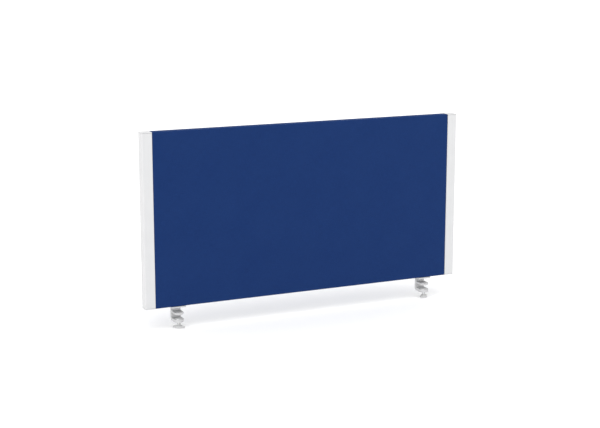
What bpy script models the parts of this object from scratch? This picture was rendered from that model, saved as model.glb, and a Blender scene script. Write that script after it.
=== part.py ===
"""Desk privacy panel: an upholstered board with a trim at each end, held over a desk by two screw clamps.

Metres, +Z up, +X along the board, -Y towards the person at the desk. The origin is under the middle of
the board, level with the undersides of the clamps' knobs.
"""

import math

import bmesh
import bpy
from mathutils import Matrix, Vector

MM = 0.001
GAP = 0.3 * MM  # between pieces that touch

# Screen
SCREEN_WIDTH = 800 * MM
SCREEN_HEIGHT = 400 * MM
SCREEN_DEPTH = 25 * MM
SCREEN_BASE = 51 * MM  # height of the board's underside over the knobs' undersides
TRIM_WIDTH = 24 * MM
BOARD_WIDTH = SCREEN_WIDTH - 2 * TRIM_WIDTH

# Board, from the inside out
CORE_DEPTH = 16 * MM
COVER_THICKNESS = 0.8 * MM
COVER_RADIUS = 1.6 * MM
HEM_WIDTH = 6 * MM  # how far the cover is turned in over the board's ends

# Trims
TRIM_WALL = 1.6 * MM
TRIM_RADIUS = 2 * MM
CAP_THICKNESS = 2 * MM
CAP_PLUG_LENGTH = 9 * MM
SLOT_WIDTH = 12.6 * MM  # in the trim's outer wall, filled by the cover strip
STRIP_LEG = 1.2 * MM
STRIP_REACH = 4.5 * MM
STRIP_BARB = 1 * MM
TRIM_SCREW_HEIGHTS = (60 * MM, 200 * MM, 340 * MM)
TRIM_SCREW_RADIUS = 2 * MM
TRIM_SCREW_HEAD_RADIUS = 3.6 * MM
TRIM_SCREW_HEAD_HEIGHT = 2.2 * MM
TRIM_SCREW_LENGTH = 27 * MM
TRIM_SCREW_RECESS = (1.2 * MM, 1.5 * MM, 1.3 * MM)  # radius at its floor, radius at its mouth, depth

# Clamps: heights are measured down from the board's underside, and Y from the screw's axis
CLAMP_SPREAD = 640 * MM
SCREW_AXIS_Y = -7 * MM
JAW_RADIUS = 11 * MM
SPINE_FRONT = 18 * MM
SPINE_BACK = 25 * MM
FOOT_WIDTH = 34 * MM
FOOT_FRONT = -5 * MM
FOOT_THICKNESS = 3 * MM
FOOT_CORNER = 3 * MM
UPPER_JAW_TOP = -14.5 * MM
UPPER_JAW_BOTTOM = -18 * MM
LOWER_JAW_TOP = -30 * MM
LOWER_JAW_BOTTOM = -37 * MM
HEEL_RADIUS = 7 * MM  # the frame's lower back corner
JAW_EDGE_RADIUS = 1 * MM
FRAME_BEVEL = 0.5 * MM
POCKET_DEPTH = 1.5 * MM  # in the lower jaw, which takes the pressure disc when the clamp is open
POCKET_CLEARANCE = 0.4 * MM
PAD_THICKNESS = 0.8 * MM
PAD_INSET = 1.2 * MM
FOOT_SCREW_X = 13.2 * MM
FOOT_SCREW_Y = 7 * MM
FOOT_SCREW_RADIUS = 1.75 * MM
FOOT_SCREW_HEAD_RADIUS = 2.9 * MM
FOOT_SCREW_HEAD_HEIGHT = 1.2 * MM
FOOT_SCREW_LENGTH = 15 * MM
FOOT_SCREW_RECESS = (1.0 * MM, 1.3 * MM, 0.8 * MM)  # radius at its floor, radius at its mouth, depth

# Clamp screw
THREAD_RADIUS = 4 * MM
BUSH_RADIUS = 5.6 * MM
DISC_RADIUS = 8.5 * MM
DISC_THICKNESS = 2 * MM
NECK_RADIUS = 2.2 * MM
NOSE_RADIUS = 3.1 * MM
NOSE_THICKNESS = 0.4 * MM
SOCKET_LIP = 0.5 * MM
KNOB_TOP = -44.7 * MM
KNOB_SHOULDER = -49.4 * MM
KNOB_BOTTOM = -SCREEN_BASE
KNOB_NECK_RADIUS = 5.3 * MM
KNOB_RADIUS = 9.2 * MM
KNOB_EDGE = 0.6 * MM
KNOB_FLOOR = 1.2 * MM
WING_REACH = 14.5 * MM
WING_ROOT = 3.2 * MM  # half thickness
WING_TIP = 2.2 * MM
WING_TIP_RADIUS = 2 * MM
WING_CREST = -44.9 * MM  # height of the wings' sloping top edges at the screw's axis
WING_TIP_TOP = -47.8 * MM
WING_BOTTOM = -50.6 * MM
KNOB_TURNS = {"left": math.radians(47), "right": math.radians(-54)}  # of the wings, from Y

ARC_STEPS = 5
SMALL_STEPS = 16  # sides of a screw
ROUND_STEPS = 24  # sides of a knob, disc or bore
SHARP_ANGLE = math.radians(35)
MERGE = 0.01 * MM

COLOURS = {
    "blue_fabric": ((0.014, 0.040, 0.150), 0.9, 0.0),
    "foam": ((0.72, 0.70, 0.62), 0.95, 0.0),
    "chipboard": ((0.55, 0.42, 0.28), 0.8, 0.0),
    "white_trim": ((0.82, 0.82, 0.83), 0.4, 0.0),
    "white_plastic": ((0.80, 0.80, 0.81), 0.5, 0.0),
    "white_casting": ((0.78, 0.78, 0.79), 0.45, 0.1),
    "grey_rubber": ((0.35, 0.35, 0.36), 0.85, 0.0),
    "zinc_steel": ((0.62, 0.63, 0.65), 0.35, 0.9),
}


# Scene, materials and objects


def clear_scene():
    for obj in list(bpy.data.objects):
        bpy.data.objects.remove(obj, do_unlink=True)


def new_collection(name):
    collection = bpy.data.collections.new(name)
    bpy.context.scene.collection.children.link(collection)
    return collection


def make_materials():
    made = {}
    for name, (colour, roughness, metallic) in COLOURS.items():
        material = bpy.data.materials.new(name)
        material.use_nodes = True
        shader = material.node_tree.nodes["Principled BSDF"]
        shader.inputs["Base Color"].default_value = (*colour, 1.0)
        shader.inputs["Roughness"].default_value = roughness
        shader.inputs["Metallic"].default_value = metallic
        made[name] = material
    return made


clear_scene()
PARTS = new_collection("desk_privacy_panel")
CUTTERS = new_collection("cutters")
MATERIALS = make_materials()


def new_object(name, mesh, collection=CUTTERS):
    obj = bpy.data.objects.new(name, mesh)
    collection.objects.link(obj)
    if collection is CUTTERS:
        obj.hide_render = True
        obj.display_type = "WIRE"
    return obj


def empty(name, location, parent=None):
    obj = bpy.data.objects.new(name, None)
    obj.empty_display_size = 10 * MM
    obj.location = location
    obj.parent = parent
    PARTS.objects.link(obj)
    return obj


def piece(obj, material, parent=None):
    """Moves a made object from the cutters to the parts, and gives it its material."""
    CUTTERS.objects.unlink(obj)
    PARTS.objects.link(obj)
    obj.hide_render = False
    obj.display_type = "TEXTURED"
    obj.data.materials.clear()
    obj.data.materials.append(MATERIALS[material])
    obj.parent = parent
    return obj


# Outlines and solids


def rounded(corners):
    """An outline from (x, y, radius) corners, each turned into an arc of that radius."""
    outline = []
    for i, (x, y, radius) in enumerate(corners):
        if not radius:
            outline.append((x, y))
            continue
        corner = Vector((x, y))
        before = (Vector(corners[i - 1][:2]) - corner).normalized()
        after = (Vector(corners[(i + 1) % len(corners)][:2]) - corner).normalized()
        half = before.angle(after) / 2
        centre = corner + (before + after).normalized() * radius / math.sin(half)
        start = corner + before * radius / math.tan(half) - centre
        sweep = math.copysign(math.pi - 2 * half, before.cross(after) * -1)
        for k in range(ARC_STEPS + 1):
            point = centre + Matrix.Rotation(sweep * k / ARC_STEPS, 2) @ start
            outline.append((point.x, point.y))
    return outline


def prism(name, outline, low, high, across="Z"):
    """An outline extruded from low to high along an axis. Across X, the outline is in Y and Z."""
    curve = bpy.data.curves.new(name, "CURVE")
    curve.dimensions = "2D"
    curve.fill_mode = "BOTH"
    curve.extrude = (high - low) / 2
    spline = curve.splines.new("POLY")
    spline.points.add(len(outline) - 1)
    for point, (x, y) in zip(spline.points, outline):
        point.co = (x, y, 0, 1)
    spline.use_cyclic_u = True
    flat = new_object(name + "_outline", curve)
    flat.location.z = (low + high) / 2
    bpy.context.view_layer.update()
    evaluated = flat.evaluated_get(bpy.context.evaluated_depsgraph_get())
    mesh = bpy.data.meshes.new_from_object(evaluated)
    mesh.name = name
    mesh.transform(flat.matrix_world)
    bpy.data.objects.remove(flat, do_unlink=True)
    if across == "X":
        mesh.transform(Matrix(((0, 0, 1, 0), (1, 0, 0, 0), (0, 1, 0, 0), (0, 0, 0, 1))))
    bm = bmesh.new()
    bm.from_mesh(mesh)
    bmesh.ops.remove_doubles(bm, verts=bm.verts, dist=MERGE)
    bmesh.ops.recalc_face_normals(bm, faces=bm.faces)
    bm.to_mesh(mesh)
    bm.free()
    return new_object(name, mesh)


def box(name, low, high, bevel=0.0, segments=2):
    low, high = Vector(low), Vector(high)
    bm = bmesh.new()
    bmesh.ops.create_cube(bm)
    bmesh.ops.scale(bm, vec=high - low, verts=bm.verts)
    bmesh.ops.translate(bm, vec=(low + high) / 2, verts=bm.verts)
    mesh = bpy.data.meshes.new(name)
    bm.to_mesh(mesh)
    bm.free()
    obj = new_object(name, mesh)
    if bevel:
        round_edges(obj, bevel, segments)
    return obj


def turned(name, profile, steps, closed=False):
    """A profile of (radius, height) turned about Z. It starts at the top and runs down the outer side."""
    bm = bmesh.new()
    points = [bm.verts.new((radius, 0, height)) for radius, height in profile]
    for a, b in zip(points, points[1:]):
        bm.edges.new((a, b))
    if closed:
        bm.edges.new((points[-1], points[0]))
    mesh = bpy.data.meshes.new(name)
    bm.to_mesh(mesh)
    bm.free()
    obj = new_object(name, mesh)
    screw = obj.modifiers.new("turn", "SCREW")
    screw.steps = screw.render_steps = steps
    screw.use_merge_vertices = True
    screw.merge_threshold = MERGE
    screw.use_smooth_shade = True
    return obj


def rod(name, radius, low, high, steps=ROUND_STEPS):
    return turned(name, [(0, high), (radius, high), (radius, low), (0, low)], steps)


def boolean(obj, tool, operation):
    """Cuts, joins or intersects obj with tool, and gives the tool back."""
    modifier = obj.modifiers.new(tool.name, "BOOLEAN")
    modifier.operation = operation
    modifier.solver = "EXACT"
    modifier.object = tool
    return tool


def cut(obj, tool):
    return boolean(obj, tool, "DIFFERENCE")


def round_edges(obj, width, segments=2):
    bevel = obj.modifiers.new("rounded_edges", "BEVEL")
    bevel.width = width
    bevel.segments = segments
    bevel.limit_method = "ANGLE"
    bevel.angle_limit = SHARP_ANGLE


# Board


def board_box(name, inset, depth_low, depth_high, bevel=0.0):
    """A box as wide and high as the board less an inset, between two depths."""
    half = BOARD_WIDTH / 2 - GAP - inset
    low = (-half, depth_low, SCREEN_BASE + inset)
    high = (half, depth_high, SCREEN_BASE + SCREEN_HEIGHT - inset)
    return box(name, low, high, bevel)


def make_cover():
    """The sewn cover: closed round the board, turned in over its ends."""
    half = SCREEN_DEPTH / 2
    cover = board_box("fabric_cover", 0, -half, half, COVER_RADIUS)
    inside = half - COVER_THICKNESS
    cut(cover, board_box("cover_inside", COVER_THICKNESS, -inside, inside, COVER_RADIUS / 2))
    window = inside - HEM_WIDTH
    opening = box(
        "cover_end_openings",
        (-SCREEN_WIDTH, -window, SCREEN_BASE + HEM_WIDTH),
        (SCREEN_WIDTH, window, SCREEN_BASE + SCREEN_HEIGHT - HEM_WIDTH),
    )
    cut(cover, opening)
    for name, place in foot_screw_places():
        hole = rod(name + "_cover_hole", FOOT_SCREW_RADIUS + GAP, -HEM_WIDTH, HEM_WIDTH, SMALL_STEPS)
        hole.location = place
        cut(cover, hole)
    piece(cover, "blue_fabric")


def make_core_and_foam():
    inset = COVER_THICKNESS + GAP
    core = board_box("core_board", inset, -CORE_DEPTH / 2, CORE_DEPTH / 2)
    for name, place in foot_screw_places():
        hole = rod(name + "_core_hole", FOOT_SCREW_RADIUS + GAP, -GAP, FOOT_SCREW_LENGTH, SMALL_STEPS)
        hole.location = place
        cut(core, hole)
    for name, place, turn in trim_screw_places():
        hole = rod(name + "_core_hole", TRIM_SCREW_RADIUS + GAP, -TRIM_SCREW_LENGTH, 0, SMALL_STEPS)
        hole.matrix_world = Matrix.Translation(place) @ turn
        cut(core, hole)
    piece(core, "chipboard")
    outer = SCREEN_DEPTH / 2 - COVER_THICKNESS - GAP
    inner = CORE_DEPTH / 2 + GAP
    piece(board_box("foam_front", inset, -outer, -inner), "foam")
    piece(board_box("foam_back", inset, inner, outer), "foam")


# Trims: u runs outwards from the board's end, v from front to back


def trim_corners():
    half, wall, inner = SCREEN_DEPTH / 2, TRIM_WALL, TRIM_RADIUS / 2
    outside, slot = TRIM_WIDTH, SLOT_WIDTH / 2
    front = [
        (0, -half, TRIM_RADIUS / 3),
        (outside, -half, TRIM_RADIUS),
        (outside, -slot, 0),
        (outside - wall, -slot, 0),
        (outside - wall, wall - half, inner),
        (wall, wall - half, inner),
    ]
    back = [(u, -v, radius) for u, v, radius in reversed(front)]
    return front + back


def strip_corners():
    """The cover strip's face, with a barbed leg along each edge that snaps behind the slot's lips."""
    face, barb_top = SLOT_WIDTH / 2 - GAP, TRIM_WIDTH - TRIM_WALL - GAP
    leg_end = barb_top - STRIP_REACH
    front = [
        (TRIM_WIDTH, -face, 0),
        (barb_top, -face, 0),
        (barb_top, -face - STRIP_BARB, 0),
        (leg_end, -face, 0),
        (leg_end, STRIP_LEG - face, 0),
        (TRIM_WIDTH - TRIM_WALL, STRIP_LEG - face, 0),
    ]
    back = [(u, -v, radius) for u, v, radius in reversed(front)]
    return front + back


def on_side(side, corners):
    """Corners in u and v as an outline in X and Y, at the left (-1) or right (1) end of the board."""
    return rounded([(side * (BOARD_WIDTH / 2 + u), v, radius) for u, v, radius in corners])


def trim_screw_places():
    """Each trim screw's name, the place of its head's underside, and the turn that points its head outwards."""
    for side, word in ((-1, "left"), (1, "right")):
        turn = Matrix.Rotation(side * math.pi / 2, 4, "Y")
        x = side * (BOARD_WIDTH / 2 + TRIM_WALL + GAP)
        for number, height in enumerate(TRIM_SCREW_HEIGHTS, 1):
            yield f"{word}_trim_screw_{number}", Vector((x, 0, SCREEN_BASE + height)), turn


def make_trim_screw(name, place, turn):
    top = TRIM_SCREW_HEAD_HEIGHT
    floor, mouth, recess = TRIM_SCREW_RECESS
    profile = [
        (0, top - recess),
        (floor, top - recess),
        (mouth, top),
        (TRIM_SCREW_HEAD_RADIUS - top / 2, top),
        (TRIM_SCREW_HEAD_RADIUS, top / 2),
        (TRIM_SCREW_HEAD_RADIUS, 0),
        (TRIM_SCREW_RADIUS, 0),
        (TRIM_SCREW_RADIUS, TRIM_SCREW_RADIUS * 2 - TRIM_SCREW_LENGTH + GAP),
        (0, GAP - TRIM_SCREW_LENGTH),
    ]
    screw = piece(turned(name, profile, SMALL_STEPS), "zinc_steel")
    screw.matrix_world = Matrix.Translation(place) @ turn


def make_cap(side, name, at_top):
    """A cap flush with the trim's sides, with a plug that enters the hollow."""
    half, start = SCREEN_DEPTH / 2, TRIM_WALL + GAP
    plate = [
        (0, -half, TRIM_RADIUS / 3),
        (TRIM_WIDTH, -half, TRIM_RADIUS),
        (TRIM_WIDTH, half, TRIM_RADIUS),
        (0, half, TRIM_RADIUS / 3),
    ]
    plug_end = TRIM_WIDTH - TRIM_WALL - 2 * GAP - STRIP_REACH - GAP
    plug_half = half - TRIM_WALL - GAP
    plug = [
        (start, -plug_half, TRIM_RADIUS),
        (plug_end, -plug_half, TRIM_RADIUS),
        (plug_end, plug_half, TRIM_RADIUS),
        (start, plug_half, TRIM_RADIUS),
    ]
    if at_top:
        plate_high = SCREEN_BASE + SCREEN_HEIGHT
        plate_low = plate_high - CAP_THICKNESS
        plug_low, plug_high = plate_low - CAP_PLUG_LENGTH, plate_high - CAP_THICKNESS / 2
    else:
        plate_low = SCREEN_BASE
        plate_high = plate_low + CAP_THICKNESS
        plug_low, plug_high = plate_low + CAP_THICKNESS / 2, plate_high + CAP_PLUG_LENGTH
    cap = prism(name, on_side(side, plate), plate_low, plate_high)
    boolean(cap, prism(name + "_plug", on_side(side, plug), plug_low, plug_high), "UNION")
    piece(cap, "white_plastic")


def make_trims():
    low = SCREEN_BASE + CAP_THICKNESS + GAP
    high = SCREEN_BASE + SCREEN_HEIGHT - CAP_THICKNESS - GAP
    for side, word in ((-1, "left"), (1, "right")):
        trim = prism(f"{word}_trim", on_side(side, trim_corners()), low, high)
        for name, place, turn in trim_screw_places():
            if name.startswith(word):
                reach = TRIM_WALL + 2 * GAP
                hole = rod(name + "_trim_hole", TRIM_SCREW_RADIUS + GAP, -reach, reach, SMALL_STEPS)
                hole.matrix_world = Matrix.Translation(place) @ turn
                cut(trim, hole)
        piece(trim, "white_trim")
        piece(prism(f"{word}_trim_strip", on_side(side, strip_corners()), low, high), "white_trim")
        make_cap(side, f"{word}_trim_cap_top", True)
        make_cap(side, f"{word}_trim_cap_bottom", False)
    for name, place, turn in trim_screw_places():
        make_trim_screw(name, place, turn)


# Clamps: built about the screw's axis, with z = 0 at the board's underside


def clamp_places():
    for side, word in ((-1, "left"), (1, "right")):
        yield word, Vector((side * CLAMP_SPREAD / 2, SCREW_AXIS_Y, SCREEN_BASE))


def foot_screw_places():
    """The name and place of each screw through a clamp's foot, at the board's underside."""
    for word, place in clamp_places():
        for number, x in enumerate((-FOOT_SCREW_X, FOOT_SCREW_X), 1):
            yield f"{word}_foot_screw_{number}", place + Vector((x, FOOT_SCREW_Y, 0))


def half_round(radius, back, corner):
    """A plan outline: straight sides from the back, and a half circle at the front about the screw's axis."""
    steps = ROUND_STEPS // 2
    front = [
        (-radius * math.cos(math.pi * k / steps), -radius * math.sin(math.pi * k / steps))
        for k in range(steps + 1)
    ]
    return rounded([(x, y, 0) for x, y in front] + [(radius, back, corner), (-radius, back, corner)])


def frame_side():
    """The C frame's side view, in Y and Z."""
    edge, throat = JAW_EDGE_RADIUS, 2 * JAW_EDGE_RADIUS
    front = -JAW_RADIUS
    return rounded([
        (SPINE_BACK, -GAP, edge),
        (SPINE_BACK, LOWER_JAW_BOTTOM, HEEL_RADIUS),
        (front, LOWER_JAW_BOTTOM, edge),
        (front, LOWER_JAW_TOP, edge),
        (SPINE_FRONT, LOWER_JAW_TOP, throat),
        (SPINE_FRONT, UPPER_JAW_BOTTOM, throat),
        (front, UPPER_JAW_BOTTOM, edge),
        (front, UPPER_JAW_TOP, edge),
        (SPINE_FRONT, UPPER_JAW_TOP, throat),
        (SPINE_FRONT, -GAP, 0),
    ])


def make_frame(word, clamp):
    name = f"{word}_clamp_frame"
    frame = prism(name, frame_side(), -JAW_RADIUS - GAP, JAW_RADIUS + GAP, across="X")
    plan = prism(name + "_plan", half_round(JAW_RADIUS, SPINE_BACK + GAP, 0), LOWER_JAW_BOTTOM - GAP, 0)
    half = FOOT_WIDTH / 2
    foot_outline = rounded([
        (-half, FOOT_FRONT, FOOT_CORNER),
        (half, FOOT_FRONT, FOOT_CORNER),
        (half, SPINE_BACK - GAP, FOOT_CORNER),
        (-half, SPINE_BACK - GAP, FOOT_CORNER),
    ])
    foot = prism(name + "_foot", foot_outline, -GAP - FOOT_THICKNESS, -GAP)
    pocket_floor = LOWER_JAW_TOP - POCKET_DEPTH
    pocket = rod(name + "_pocket", DISC_RADIUS + POCKET_CLEARANCE, pocket_floor, LOWER_JAW_TOP + GAP)
    bore = rod(name + "_bore", BUSH_RADIUS + GAP, LOWER_JAW_BOTTOM - GAP, pocket_floor + GAP)
    boolean(frame, plan, "INTERSECT").parent = clamp
    boolean(frame, foot, "UNION").parent = clamp
    round_edges(frame, FRAME_BEVEL)
    cut(frame, pocket).parent = clamp
    cut(frame, bore).parent = clamp
    top, bottom = 0, -GAP - FOOT_THICKNESS
    for number, x in enumerate((-FOOT_SCREW_X, FOOT_SCREW_X), 1):
        hole_profile = [
            (0, top),
            (FOOT_SCREW_RADIUS + GAP, top),
            (FOOT_SCREW_RADIUS + GAP, bottom + FOOT_SCREW_HEAD_HEIGHT + GAP),
            (FOOT_SCREW_HEAD_RADIUS + GAP, bottom + GAP / 2),
            (FOOT_SCREW_HEAD_RADIUS + GAP, bottom - GAP),
            (0, bottom - GAP),
        ]
        hole = turned(f"{name}_screw_hole_{number}", hole_profile, SMALL_STEPS)
        hole.location = (x, FOOT_SCREW_Y, 0)
        cut(frame, hole).parent = clamp
    piece(frame, "white_casting", clamp)


def make_foot_screw(name, place):
    """A countersunk wood screw, driven upwards through the clamp's foot into the core."""
    bottom = -FOOT_THICKNESS
    tip = FOOT_SCREW_LENGTH - GAP + bottom
    floor, mouth, recess = FOOT_SCREW_RECESS
    profile = [
        (0, tip),
        (FOOT_SCREW_RADIUS, tip - 2 * FOOT_SCREW_RADIUS),
        (FOOT_SCREW_RADIUS, bottom + FOOT_SCREW_HEAD_HEIGHT),
        (FOOT_SCREW_HEAD_RADIUS, bottom),
        (mouth, bottom),
        (floor, bottom + recess),
        (0, bottom + recess),
    ]
    screw = piece(turned(name, profile, SMALL_STEPS), "zinc_steel")
    screw.location = place


def make_jaw_pad(word, clamp):
    top = UPPER_JAW_BOTTOM - GAP
    outline = half_round(JAW_RADIUS - PAD_INSET, SPINE_FRONT - 2 * PAD_INSET, PAD_INSET)
    pad = prism(f"{word}_jaw_pad", outline, top - PAD_THICKNESS, top)
    piece(pad, "grey_rubber", clamp)


def make_bush(word, clamp):
    high, low = LOWER_JAW_TOP - POCKET_DEPTH - GAP, LOWER_JAW_BOTTOM
    inner = THREAD_RADIUS + GAP
    profile = [(inner, high), (BUSH_RADIUS, high), (BUSH_RADIUS, low), (inner, low)]
    piece(turned(f"{word}_thread_bush", profile, ROUND_STEPS, closed=True), "zinc_steel", clamp)


def disc_bottom():
    return LOWER_JAW_TOP - POCKET_DEPTH + GAP


def make_disc_and_pad(word, carrier):
    """The pressure disc, with a socket that holds the spindle's nose, and its rubber face."""
    bottom = disc_bottom()
    top = bottom + DISC_THICKNESS
    ceiling = bottom + SOCKET_LIP + 2 * GAP + NOSE_THICKNESS
    mouth, socket = NECK_RADIUS + GAP, NOSE_RADIUS + GAP
    profile = [
        (0, top),
        (DISC_RADIUS - GAP, top),
        (DISC_RADIUS, top - GAP),
        (DISC_RADIUS, bottom),
        (mouth, bottom),
        (mouth, bottom + SOCKET_LIP),
        (socket, bottom + SOCKET_LIP),
        (socket, ceiling),
        (0, ceiling),
    ]
    piece(turned(f"{word}_pressure_disc", profile, ROUND_STEPS), "zinc_steel", carrier)
    low = top + GAP
    pad = rod(f"{word}_disc_pad", DISC_RADIUS - GAP, low, low + PAD_THICKNESS)
    piece(pad, "grey_rubber", carrier)


def make_spindle(word, turner):
    shoulder = disc_bottom() - POCKET_CLEARANCE
    nose_low = disc_bottom() + SOCKET_LIP + GAP
    low = KNOB_BOTTOM + KNOB_FLOOR + GAP
    profile = [
        (0, nose_low + NOSE_THICKNESS),
        (NOSE_RADIUS, nose_low + NOSE_THICKNESS),
        (NOSE_RADIUS, nose_low),
        (NECK_RADIUS, nose_low),
        (NECK_RADIUS, shoulder),
        (THREAD_RADIUS - GAP, shoulder),
        (THREAD_RADIUS, shoulder - GAP),
        (THREAD_RADIUS, low),
        (0, low),
    ]
    piece(turned(f"{word}_spindle", profile, ROUND_STEPS), "zinc_steel", turner)


def make_knob(word, turner):
    """A conical hub, closed at the bottom, and two wings along Y that slope down to their tips."""
    name = f"{word}_knob"
    hub_profile = [
        (0, KNOB_TOP),
        (KNOB_NECK_RADIUS, KNOB_TOP),
        (KNOB_RADIUS, KNOB_SHOULDER),
        (KNOB_RADIUS, KNOB_BOTTOM + KNOB_EDGE),
        (KNOB_RADIUS - KNOB_EDGE, KNOB_BOTTOM),
        (0, KNOB_BOTTOM),
    ]
    knob = turned(name, hub_profile, ROUND_STEPS)
    plan = rounded([
        (-WING_ROOT, 0, 0),
        (-WING_TIP, -WING_REACH, WING_TIP_RADIUS),
        (WING_TIP, -WING_REACH, WING_TIP_RADIUS),
        (WING_ROOT, 0, 0),
        (WING_TIP, WING_REACH, WING_TIP_RADIUS),
        (-WING_TIP, WING_REACH, WING_TIP_RADIUS),
    ])
    past = WING_REACH + GAP
    slopes = [
        (-past, KNOB_BOTTOM),
        (past, KNOB_BOTTOM),
        (past, WING_TIP_TOP),
        (0, WING_CREST),
        (-past, WING_TIP_TOP),
    ]
    wings = prism(name + "_wings", plan, WING_BOTTOM, WING_CREST)
    across = prism(name + "_wing_slopes", slopes, -KNOB_RADIUS, KNOB_RADIUS, across="X")
    boolean(wings, across, "INTERSECT").parent = turner
    bore = rod(name + "_bore", THREAD_RADIUS + GAP, KNOB_BOTTOM + KNOB_FLOOR, KNOB_TOP + GAP)
    boolean(knob, wings, "UNION").parent = turner
    cut(knob, bore).parent = turner
    piece(knob, "white_plastic", turner)


def make_clamps():
    for word, place in clamp_places():
        clamp = empty(f"{word}_clamp", place)
        carrier = empty(f"{word}_pad_travel", (0, 0, 0), clamp)
        turner = empty(f"{word}_screw_axis", (0, 0, 0), carrier)
        turner.rotation_euler.z = KNOB_TURNS[word]
        make_frame(word, clamp)
        make_jaw_pad(word, clamp)
        make_bush(word, clamp)
        make_disc_and_pad(word, carrier)
        make_spindle(word, turner)
        make_knob(word, turner)
    for name, place in foot_screw_places():
        make_foot_screw(name, place)


def shade():
    for obj in PARTS.objects:
        if obj.type == "MESH":
            obj.data.shade_smooth()
            obj.data.set_sharp_from_angle(angle=SHARP_ANGLE)


make_core_and_foam()
make_cover()
make_trims()
make_clamps()
shade()
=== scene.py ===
"""Looks of the desk privacy panel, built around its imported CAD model.

Metres, in the CAD model's frame: +X along the board, -Y towards the person at the desk, the floor at z = 0.
"""

import math

import bmesh
import bpy
from mathutils import Matrix, Vector, noise


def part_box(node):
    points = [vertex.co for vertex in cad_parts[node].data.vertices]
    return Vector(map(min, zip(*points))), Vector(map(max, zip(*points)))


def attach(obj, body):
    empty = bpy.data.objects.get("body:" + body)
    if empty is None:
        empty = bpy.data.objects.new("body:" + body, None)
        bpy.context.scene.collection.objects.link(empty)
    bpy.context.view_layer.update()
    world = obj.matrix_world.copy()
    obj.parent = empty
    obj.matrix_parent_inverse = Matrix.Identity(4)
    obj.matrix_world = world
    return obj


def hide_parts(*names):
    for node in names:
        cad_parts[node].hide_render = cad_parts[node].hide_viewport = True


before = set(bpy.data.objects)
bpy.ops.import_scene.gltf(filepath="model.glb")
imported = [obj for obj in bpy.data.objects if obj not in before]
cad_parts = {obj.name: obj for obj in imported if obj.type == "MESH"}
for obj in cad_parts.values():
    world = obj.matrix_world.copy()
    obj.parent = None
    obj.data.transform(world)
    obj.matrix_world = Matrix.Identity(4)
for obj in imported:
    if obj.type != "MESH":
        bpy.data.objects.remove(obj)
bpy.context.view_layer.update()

MM = 0.001
GAP = 0.3 * MM  # between pieces that touch
SIDES = (("left", -1), ("right", 1))
SHARP = math.radians(32)

# Where the CAD model has things
BOARD_LOW, BOARD_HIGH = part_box("fabric_cover")
SCREEN_BASE, SCREEN_TOP = BOARD_LOW.z, BOARD_HIGH.z
HALF_DEPTH = BOARD_HIGH.y
TRIM_INNER, TRIM_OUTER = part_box("right_trim")[0].x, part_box("right_trim")[1].x
TRIM_BOTTOM, TRIM_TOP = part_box("right_trim")[0].z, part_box("right_trim")[1].z
CLAMP_X = {word: sum(c.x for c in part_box(f"{word}_pressure_disc")) / 2 for word, _ in SIDES}
CLAMP_Y = sum(c.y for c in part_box("left_pressure_disc")) / 2

# Camera: at the photograph's viewing angle
CAMERA_PLACE = (-1.3098, -2.7760, 0.8506)
CAMERA_AZIMUTH, CAMERA_ELEVATION = math.radians(-25.035), math.radians(11.346)
CAMERA_LENS = 80.25

# Cover and foam
COVER_INSET = 0.15 * MM  # the sleeve starts this much inside its place, and swells over it
COVER_SWELL_LIMIT = 1.5 * MM  # more than this is a simulation gone wrong
COVER_CLOTH = 0.8 * MM
COVER_CORNER = 2.4 * MM
COVER_ROLL = 1.6 * MM  # radius at which the sleeve turns in at the board's ends
COVER_HEM = 4.6 * MM
COVER_ROWS, COVER_COLUMNS = 62, 110
ARC_ROWS = 5
SIM_FRAMES = 20
SIM_PRESSURE = 0.02
SEAM_DEPTH, SEAM_WIDTH = 0.4 * MM, 1.0 * MM  # gentle enough that the cloth's inner side doesn't fold
FOAM_THICKNESS = 2.7 * MM

# Trims
TRIM_WIDTH = TRIM_OUTER - TRIM_INNER
TRIM_WALL = 1.6 * MM
TRIM_RADIUS = 2 * MM
SLOT_WIDTH = 12.6 * MM
STRIP_LEG, STRIP_REACH, STRIP_BARB = 1.2 * MM, 4.5 * MM, 1 * MM
CAP_THICKNESS = 2 * MM
CAP_PLUG_LENGTH = 9 * MM

# Clamps: heights are measured down from the board's underside, and Y from the screw's axis
JAW_RADIUS = 11 * MM
SPINE_FRONT, SPINE_BACK = 18 * MM, 25 * MM
FOOT_WIDTH, FOOT_FRONT, FOOT_THICKNESS, FOOT_CORNER = 34 * MM, -5 * MM, 3 * MM, 3 * MM
UPPER_JAW_TOP, UPPER_JAW_BOTTOM = -14.5 * MM, -18 * MM
LOWER_JAW_TOP, LOWER_JAW_BOTTOM = -30 * MM, -37 * MM
HEEL_RADIUS = 7 * MM
POCKET_FLOOR = -31.5 * MM
PAD_THICKNESS, PAD_INSET = 0.8 * MM, 1.2 * MM
FOOT_SCREW_X, FOOT_SCREW_Y = 13.2 * MM, 7 * MM
POCKET_CLEARANCE = 0.4 * MM
FOOT_SCREW_RADIUS, FOOT_SCREW_HEAD = 1.75 * MM, 2.9 * MM
FOOT_SCREW_HEAD_HEIGHT, FOOT_SCREW_LENGTH = 1.2 * MM, 15 * MM
TRIM_SCREW_RADIUS, TRIM_SCREW_HEAD = 2 * MM, 3.6 * MM
TRIM_SCREW_HEAD_HEIGHT, TRIM_SCREW_LENGTH = 2.2 * MM, 27 * MM
TRIM_SCREW_CROSS = (3.6 * MM, 1.5 * MM)  # width and depth of the driver's cross
FOOT_SCREW_CROSS = (3.2 * MM, 1.1 * MM)
WOOD_THREAD_PITCH = 1.6 * MM
BUSH_RADIUS = 5.6 * MM
DISC_RADIUS, DISC_THICKNESS = 8.5 * MM, 2 * MM
THREAD_RADIUS, THREAD_DEPTH, THREAD_PITCH = 4 * MM, 0.72 * MM, 1.25 * MM
NECK_RADIUS, NOSE_RADIUS, NOSE_THICKNESS, SOCKET_LIP = 2.2 * MM, 3.1 * MM, 0.4 * MM, 0.5 * MM
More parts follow.
